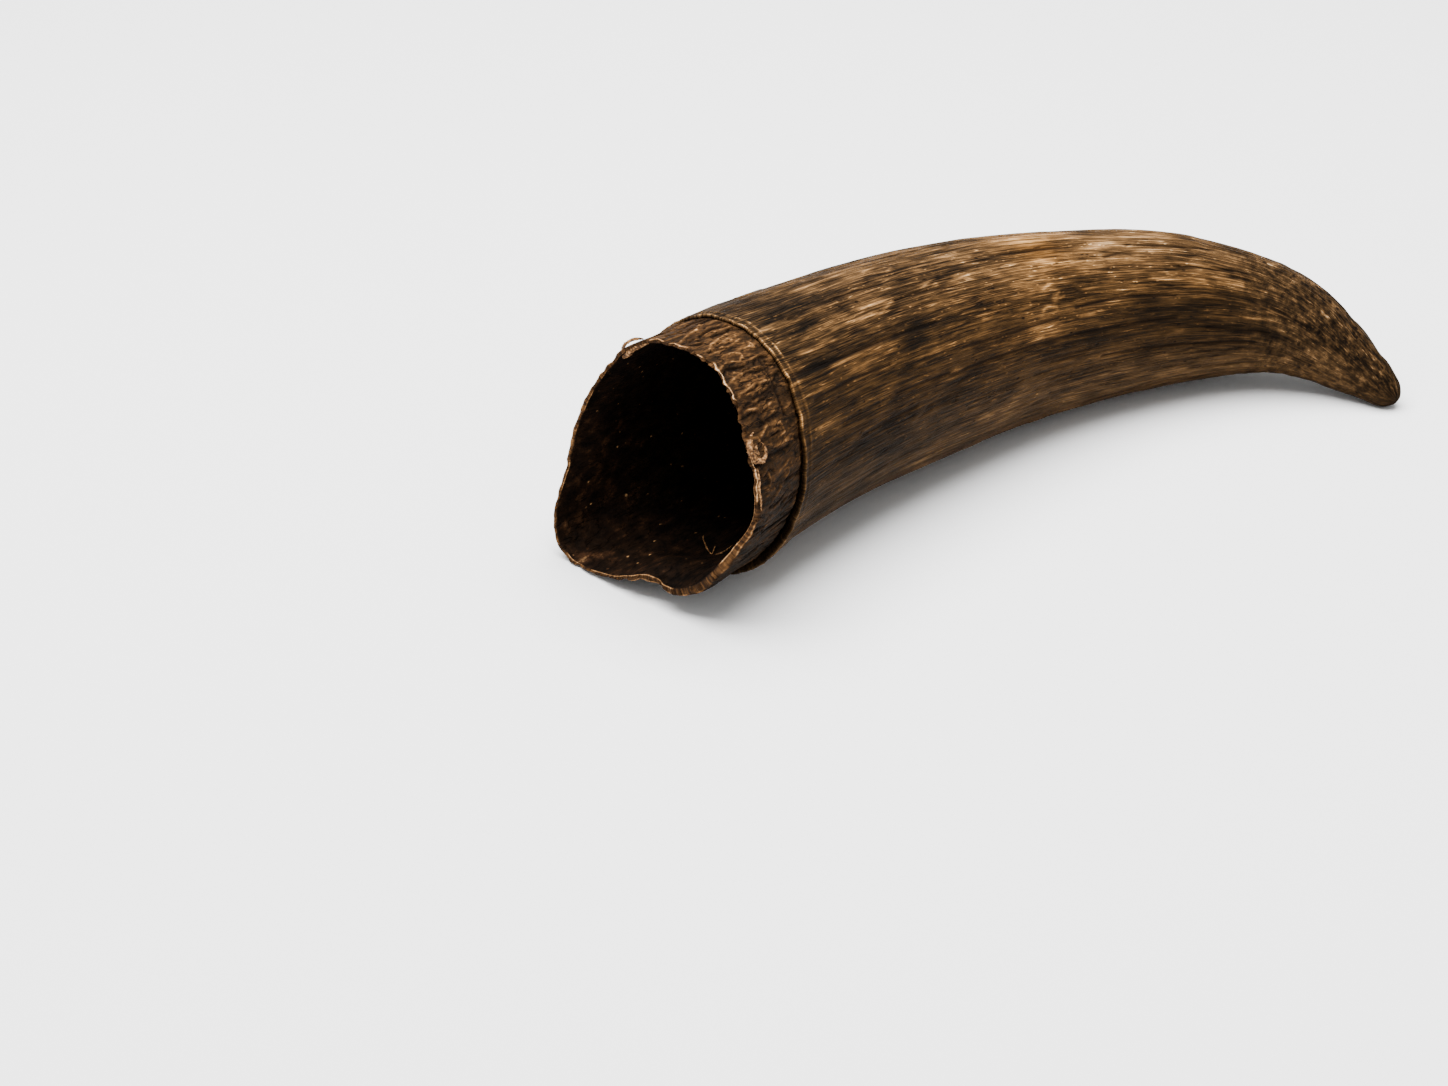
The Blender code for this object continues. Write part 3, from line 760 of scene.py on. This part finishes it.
def inner_surface():
    """The grid of the inner layer, from under the outer layer over the rim to the hollow's end.

    Outside, the radius is the section less the recess and the crevice, plus wrinkles and
    raised paths. The rim bulges as the sine of half a turn across the wall, with crumbs.
    """
    rows, across = inner_rows()
    angle = np.arange(INNER_AROUND) * 360.0 / INNER_AROUND
    angle, nominal = np.meshgrid(angle, rows)
    across = np.repeat(across[:, None], INNER_AROUND, axis=1)
    on_collar = (across < 0.05).astype(float)
    behind = nominal - COLLAR
    low_side = hump(angle, 145.0, 50.0)
    recess = COLLAR_RECESS * (0.55 + 0.45 * low_side) * blend(0.0, 0.6 * COLLAR, nominal)
    width = CREVICE_WIDTH * (0.7 + 0.6 * low_side)
    deep = CREVICE_DEPTH * (0.15 + 0.85 * hump(angle, CREVICE_SIDE, 62.0))
    sunk = deep * blend(-1.6 * width, -0.6 * width, behind)
    ridge, crack = collar_paths(angle, nominal)
    wrinkles = 0.6 * patchy(angle, nominal, 90, 0.014, 31)
    wrinkles = wrinkles + 0.5 * patchy(angle, nominal, 180, 0.006, 32)
    fine = WRINKLE_HEIGHT * wrinkles + RAISED_HEIGHT * ridge - CRACK_DEPTH * crack
    outer = section_radius(angle, slanted(angle, nominal)) - recess - sunk
    outer = outer + (grown_ridges(angle, nominal) + fine) * (behind < 0.0)
    torn = patchy(angle, across * 0.012, 200, 0.004, 35)
    lumps = patchy(angle, nominal * 0.0, 110, 0.05, 36)
    crumbly = 0.35 + 0.65 * hump(angle, 45.0, 35.0)
    near_rim = 1.0 - blend(0.0, 0.003, nominal)
    outer = outer + CRUMB_HEIGHT * lumps * crumbly * near_rim
    radius = outer * (1.0 - across) + walls(angle, nominal) * across
    bulge = np.sin(np.pi * across)
    along = slanted(angle, nominal) - RIM_BULGE * bulge ** 0.7 - RIM_TEAR * torn * crumbly * bulge
    # The hollow is painted paler on its lit side, low on the outside near the mouth: painted light.
    lit_side = 0.5 * hump(angle, 225.0, 60.0) * (1.0 - blend(0.0, 0.060, nominal))
    tone = np.interp(angle % 360.0, *zip(*COLLAR_TONE)) * (1.0 - across) + lit_side * across
    # The collar's ridge mark also takes a quarter of its wrinkle heights, so the wrinkles are painted
    # paler on their crests, as painted light, and darker in their folds, as painted shade, besides its
    # pale raised fibres.
    marks = {"across": across, "tone": tone, "ridge": (ridge + 0.25 * wrinkles) * on_collar,
             "crack": crack * on_collar, "pale": rim_paleness(angle, across, crumbly, bulge)}
    return sheath_mesh("inner_layer", placed(angle, along, radius), angle, nominal, marks)


def bare_keratin():
    """Bare keratin: brown, wrinkled and crumbly outside, nearly black in the hollow, where painted
    shade of the deep hollow darkens its own dark keratin and painted light makes its lit side near the
    mouth paler.

    The wrinkles are 1.8 mm by 11 mm, the crumbs 0.8 mm by 2.2 mm and the hollow's mottling
    3.5 mm by 6 mm. The torn rim is ochre, with a pale broken line along both of its edges.
    It is as dry as the outer layer, and has as little sheen.
    """
    material = bpy.data.materials.new("bare keratin")
    material.use_nodes = True
    tree = material.node_tree
    shader = tree.nodes["Principled BSDF"]
    shader.inputs["Specular IOR Level"].default_value = 0.03
    grain = node(tree, "Attribute", output="Vector", attribute_name="grain")
    across = node(tree, "Attribute", output="Fac", attribute_name="across")
    ridge = node(tree, "Attribute", output="Fac", attribute_name="ridge")
    crack = node(tree, "Attribute", output="Fac", attribute_name="crack")
    tone = node(tree, "Attribute", output="Fac", attribute_name="tone")
    pale = node(tree, "Attribute", output="Fac", attribute_name="pale")

    wrinkles = streaks(tree, grain, 1.8, 11.0, 4.0, 0.6)
    crumbs = streaks(tree, grain, 0.8, 2.2, 3.0, 0.6)
    # The ridge mark makes the collar paler on its raised fibres, and, from the wrinkle heights, paler
    # on crests and darker in folds as painted light and shade.
    lightness = node(tree, "Math", (ridge, 0.26, tone), operation="MULTIPLY_ADD")
    lightness = layered(tree, lightness, (wrinkles, 0.3, 0.7, -0.17, 0.17),
                        (crumbs, 0.3, 0.7, -0.12, 0.12))
    collar = node(tree, "ValToRGB", (lightness,), stops=COLLAR_KERATIN)
    splits = thin_lines(tree, streaks(tree, grain, 2.6, 16.0, 2.0), 0.5, 0.016)
    dark = node(tree, "Math", (splits, crack), operation="MAXIMUM")
    darkening = node(tree, "Math", (dark, 0.85), operation="MULTIPLY")
    collar = node(tree, "Mix", {0: darkening, 6: collar, 7: "#060302"}, output=2, data_type="RGBA")

    mottle = streaks(tree, grain, 3.5, 6.0, 5.0, 0.72)
    specks = flecks(tree, grain, 1.6, 2.6, 0.28, 0.14)
    specks = node(tree, "Math", (specks, 0.45), operation="MULTIPLY")
    # The hollow's lightness: painted light on its lit side, from the tone mark, with specks and
    # mottling.
    lit_and_mottled = node(tree, "Math", (tone, 0.35, specks), operation="MULTIPLY_ADD")
    lit_and_mottled = layered(tree, lit_and_mottled, (mottle, 0.3, 0.7, 0.1, 0.7))
    inside = node(tree, "ValToRGB", (lit_and_mottled,), stops=HOLLOW_KERATIN)

    torn = node(tree, "Math", (pale, 0.6), operation="MULTIPLY")
    torn = layered(tree, torn, (crumbs, 0.3, 0.7, 0.05, 0.35))
    edge = node(tree, "ValToRGB", (torn,), stops=RIM_KERATIN)
    on_rim = node(tree, "MapRange", (across, 0.0, 0.08, 0.0, 1.0))
    in_hollow = node(tree, "MapRange", (across, 0.94, 1.0, 0.0, 1.0))
    colour = node(tree, "Mix", {0: on_rim, 6: collar, 7: edge}, output=2, data_type="RGBA")
    colour = node(tree, "Mix", {0: in_hollow, 6: colour, 7: inside}, output=2, data_type="RGBA")
    tree.links.new(colour, shader.inputs["Base Color"])
    roughness = node(tree, "MapRange", (crumbs, 0.3, 0.7, 0.60, 0.85))
    tree.links.new(roughness, shader.inputs["Roughness"])

    height = node(tree, "Math", (dark, -0.6), operation="MULTIPLY")
    height = node(tree, "Math", (wrinkles, 0.8, height), operation="MULTIPLY_ADD")
    height = node(tree, "Math", (crumbs, 0.6, height), operation="MULTIPLY_ADD")
    bump = node(tree, "Bump", {"Height": height, "Distance": 0.0010, "Strength": 0.9})
    tree.links.new(bump, shader.inputs["Normal"])
    return material


inner_layer = bpy.data.objects.new("inner_layer", inner_surface())
inner_layer.data.materials.append(bare_keratin())
bpy.context.collection.objects.link(inner_layer)
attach(inner_layer, "root")
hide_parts("horn")


# Loose shreds at the mouth
# Dry splinters and crumbs of keratin that still hang on to the torn rim, and a branched
# fibre that lies in the hollow: bent tapering tubes.

SHRED_SIDES = 8
SHRED_FLATNESS = 0.7
SHRED_UNEVEN = 0.25
ASLANT = (0.37, -0.55, 0.75)        # a direction that no shred runs along
SPLINTER_KERATIN = ((0.35, "#24160b"), (0.50, "#573a20"), (0.68, "#a87c50"))

# Each shred's skin, its points as distance in millimetres from the mouth, angle, and height
# in millimetres over that skin, and its thickness there in millimetres.
SHREDS = {
    "arched_splinter": ("outside", ((2.5, 323.5, 0.1), (0.3, 329.5, 0.4), (-0.2, 333, 1.0),
                                    (0.0, 336.5, 1.3), (1.0, 338.5, 1.0), (3.0, 340, 0.2)),
                        (0.8, 1.2, 1.3, 1.3, 1.2, 0.6)),
    "folded_flap": ("inside", ((0.8, 346, 0.1), (0.6, 340, 0.4), (0.8, 334, 0.5), (1.6, 328, 0.5),
                               (2.2, 323, 0.2)),
                    (0.8, 1.9, 2.3, 2.4, 1.0)),
    "crumb": ("outside", ((3.4, 58, -0.3), (1.0, 61, -0.2), (0.0, 65, 0.0), (1.2, 69, 0.1),
                          (3.6, 70.5, 0.2), (6.0, 69, 0.1), (6.8, 66, 0.0), (5.4, 63.5, -0.3)),
              (0.8, 2.0, 2.7, 2.6, 1.8, 1.3, 1.1, 0.4)),
    "small_crumb": ("outside", ((3.0, 63.5, -0.3), (2.0, 66, 0.1), (3.4, 67.5, 0.0)),
                    (1.0, 2.0, 0.8)),
    "rim_thread": ("outside", ((0.4, 72, 0.2), (0.2, 78, 0.3), (0.6, 84, 0.3), (0.8, 89, 0.2)),
                   (0.5, 1.0, 0.9, 0.4)),
    "long_fibre": ("inside", ((37.5, 187, 0.3), (36, 184.5, 0.5), (32.5, 177, 0.4),
                              (29, 168.5, 0.3)),
                   (0.3, 0.55, 0.6, 0.4)),
    "forked_fibre": ("inside", ((34.5, 174, 0.6), (32, 171.5, 0.5), (29.5, 169, 0.3)),
                     (0.4, 0.5, 0.3)),
    "side_fibre": ("inside", ((28.5, 165, 0.3), (29.5, 162.5, 0.4), (32.5, 162.5, 0.4),
                              (36.5, 164.5, 0.3)),
                   (0.3, 0.5, 0.5, 0.3)),
}


def shred_mesh(name, skin, points, thicknesses):
    """A flattened tube along a smooth line near the points, thinner at its ends.

    The line is read by linear interpolation between the points and then averaged four times
    over neighbours. Each ring is an uneven ellipse, square to the line.
    """
    given = np.array(points, dtype=float)
    known = np.arange(len(given))
    fine = np.linspace(0.0, len(given) - 1.0, 8 * len(given))
    line = np.stack([np.interp(fine, known, given[:, k]) for k in range(3)], axis=-1)
    for _ in range(4):
        line[1:-1] = 0.25 * line[:-2] + 0.5 * line[1:-1] + 0.25 * line[2:]
    thick = np.interp(fine, known, thicknesses) / 2000
    along = line[:, 0] / 1000
    angle = line[:, 1]
    if skin == "outside":
        radius = section_radius(angle, slanted(angle, along)) + line[:, 2] / 1000
    else:
        radius = walls(angle, along) - line[:, 2] / 1000
    middle = placed(angle, slanted(angle, along), radius)
    toward = np.gradient(middle, axis=0)
    toward /= np.linalg.norm(toward, axis=1, keepdims=True)
    across = np.cross(toward, ASLANT)
    across /= np.linalg.norm(across, axis=1, keepdims=True)
    over = np.cross(toward, across)
    turn = np.radians(np.arange(SHRED_SIDES) * 360.0 / SHRED_SIDES)[None, :, None]
    rings = np.cos(turn) * across[:, None] + SHRED_FLATNESS * np.sin(turn) * over[:, None]
    random = np.random.default_rng(61)
    uneven = 1.0 + SHRED_UNEVEN * random.uniform(-1.0, 1.0, (len(line), SHRED_SIDES))
    rings = middle[:, None] + rings * (thick[:, None] * uneven)[..., None]
    index = np.arange(len(line) * SHRED_SIDES).reshape(len(line), SHRED_SIDES)
    beside = np.roll(index, -1, axis=1)
    quads = np.stack([index[:-1], beside[:-1], beside[1:], index[1:]], axis=-1).reshape(-1, 4)
    caps = [index[0, ::-1].tolist(), index[-1].tolist()]
    mesh = bpy.data.meshes.new(name)
    mesh.from_pydata(rings.reshape(-1, 3).tolist(), [], quads.tolist() + caps)
    mesh.shade_smooth()
    return mesh


def splintered_keratin():
    """Splintered keratin: pale tan where it is torn, mottled brown in spots of 1 mm."""
    material = bpy.data.materials.new("splintered keratin")
    material.use_nodes = True
    tree = material.node_tree
    shader = tree.nodes["Principled BSDF"]
    shader.inputs["Specular IOR Level"].default_value = 0.12
    shader.inputs["Roughness"].default_value = 0.7
    solid = node(tree, "TexCoord", output="Object")
    spots = streaks(tree, solid, 1.0, 1.0, 3.0, 0.6)
    colour = node(tree, "ValToRGB", (spots,), stops=SPLINTER_KERATIN)
    tree.links.new(colour, shader.inputs["Base Color"])
    return material


splintered = splintered_keratin()
for name, (skin, points, thicknesses) in SHREDS.items():
    shred = bpy.data.objects.new(name, shred_mesh(name, skin, points, thicknesses))
    shred.data.materials.append(splintered)
    bpy.context.collection.objects.link(shred)
    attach(shred, "root")
    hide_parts("horn")


# The studio
# A white paper sweep under one large soft light, nearly overhead, and a white room around.

FLOOR_HALF = 6.0
FLOOR_COLOUR = "#f6f6f6"
ROOM_COLOUR = "#ffffff"
FLOOR_CORNERS = ((-FLOOR_HALF, -FLOOR_HALF, 0.0), (FLOOR_HALF, -FLOOR_HALF, 0.0),
                 (FLOOR_HALF, FLOOR_HALF, 0.0), (-FLOOR_HALF, FLOOR_HALF, 0.0))
KEY_AT = (-0.1, 0.12, 1.4)
KEY_SIZE = 1.6
KEY_WATTS = 105.0
ROOM_STRENGTH = 0.75

floor_mesh = bpy.data.meshes.new("floor")
floor_mesh.from_pydata(FLOOR_CORNERS, [], [(0, 1, 2, 3)])
floor = bpy.data.objects.new("floor", floor_mesh)
bpy.context.collection.objects.link(floor)
# Matt white paper: it shows no grain and no gloss, only the horn's soft shadow.
floor_paper = bpy.data.materials.new("white paper sweep")
floor_paper.use_nodes = True
floor_shader = floor_paper.node_tree.nodes["Principled BSDF"]
floor_shader.inputs["Base Color"].default_value = linear(FLOOR_COLOUR)
floor_shader.inputs["Roughness"].default_value = 0.9
floor_mesh.materials.append(floor_paper)

world = bpy.data.worlds.new("white room")
bpy.context.scene.world = world
world.use_nodes = True
background = world.node_tree.nodes["Background"]
background.inputs["Color"].default_value = linear(ROOM_COLOUR)
background.inputs["Strength"].default_value = ROOM_STRENGTH

key_data = bpy.data.lights.new("key_light", "AREA")
key_data.size = KEY_SIZE
key_data.energy = KEY_WATTS
key_light = bpy.data.objects.new("key_light", key_data)
key_light.location = KEY_AT
key_light.rotation_mode = "QUATERNION"
key_light.rotation_quaternion = (-Vector(KEY_AT)).to_track_quat("-Z", "Y")
bpy.context.collection.objects.link(key_light)
